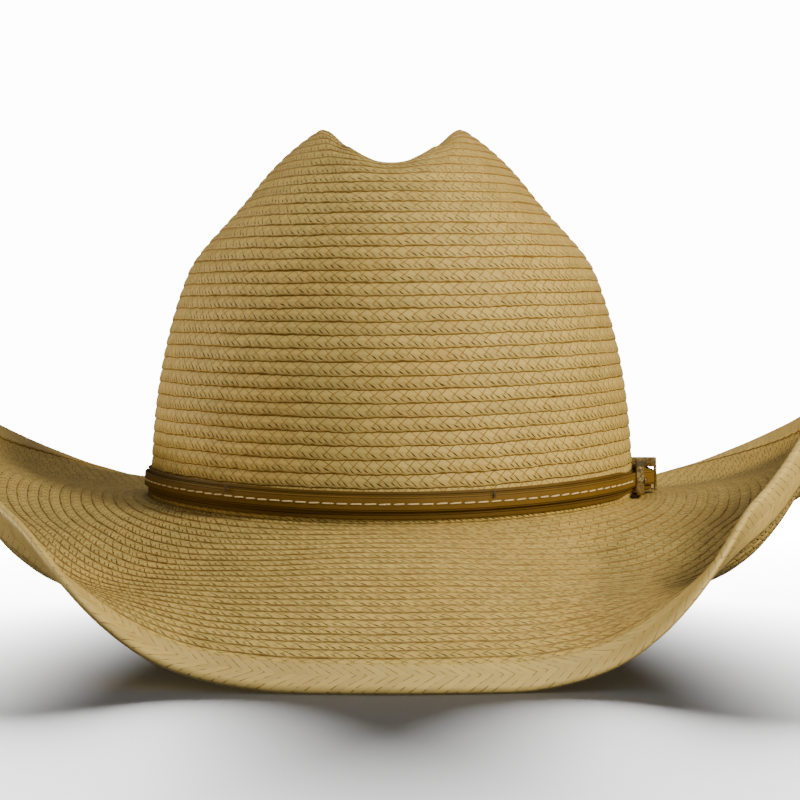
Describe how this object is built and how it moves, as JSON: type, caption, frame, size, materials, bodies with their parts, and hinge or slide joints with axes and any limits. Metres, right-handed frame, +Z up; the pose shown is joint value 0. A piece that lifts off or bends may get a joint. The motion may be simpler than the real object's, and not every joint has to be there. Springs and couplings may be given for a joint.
{
  "type": "western hat",
  "caption": "Sewn palm braid western hat with a creased crown, side-curled wired brim, sweatband and a stitched leather band with a brass buckle set.",
  "frame": {"origin": "on the ground plane under the middle of the brim; the hat stands on the front and back of its brim", "axes": "+Z up, -Y to the front of the hat, +X to the wearer's left"},
  "size_m": [0.3398, 0.388, 0.1805],
  "materials": {
    "palm": "matte sewn palm braid",
    "palm_edge": "matte palm braid, paler",
    "sweat_leather": "smooth",
    "band_leather": "oiled, semi-gloss",
    "thread": "waxed thread",
    "brass": "antique, worn bright on edges",
    "wire": "drawn",
    "reed": "smooth",
    "ribbon": "grosgrain",
    "satin": "satin"
  },
  "bodies": {
    "hat": {"crown": "palm", "brim": "palm", "brim_binding": "palm_edge", "brim_wire": "wire", "sweatband": "sweat_leather", "sweatband_piping": "ribbon", "sweatband_reed": "reed", "sweatband_bow": "ribbon", "size_tag": "satin", "crown_patch": "satin", "hatband_strap": "band_leather", "hatband_overlay": "band_leather", "hatband_stitching": "thread", "band_tack_1": "thread", "band_tack_2": "thread", "band_tack_3": "thread", "band_tack_4": "thread", "strap_tip": "brass"},
    "buckle": {"buckle_frame": "brass", "buckle_bar": "brass"},
    "prong": {"buckle_prong": "brass"},
    "keeper": {"strap_keeper": "brass"}
  },
  "joints": [
    {"name": "buckle_hinge", "type": "hinge", "parent": "hat", "child": "buckle", "pos_m": [0.0901, -0.0082, 0.0544], "axis": [0, 0, 1], "range_deg": [0, 6]},
    {"name": "prong_hinge", "type": "hinge", "parent": "buckle", "child": "prong", "pos_m": [0.0901, -0.0082, 0.0544], "axis": [0, 0, 1], "range_deg": [0, 12]},
    {"name": "keeper_slide", "type": "slide", "parent": "hat", "child": "keeper", "axis": [0, 1, 0], "range_m": [-0.001, 0.001]}
  ]
}
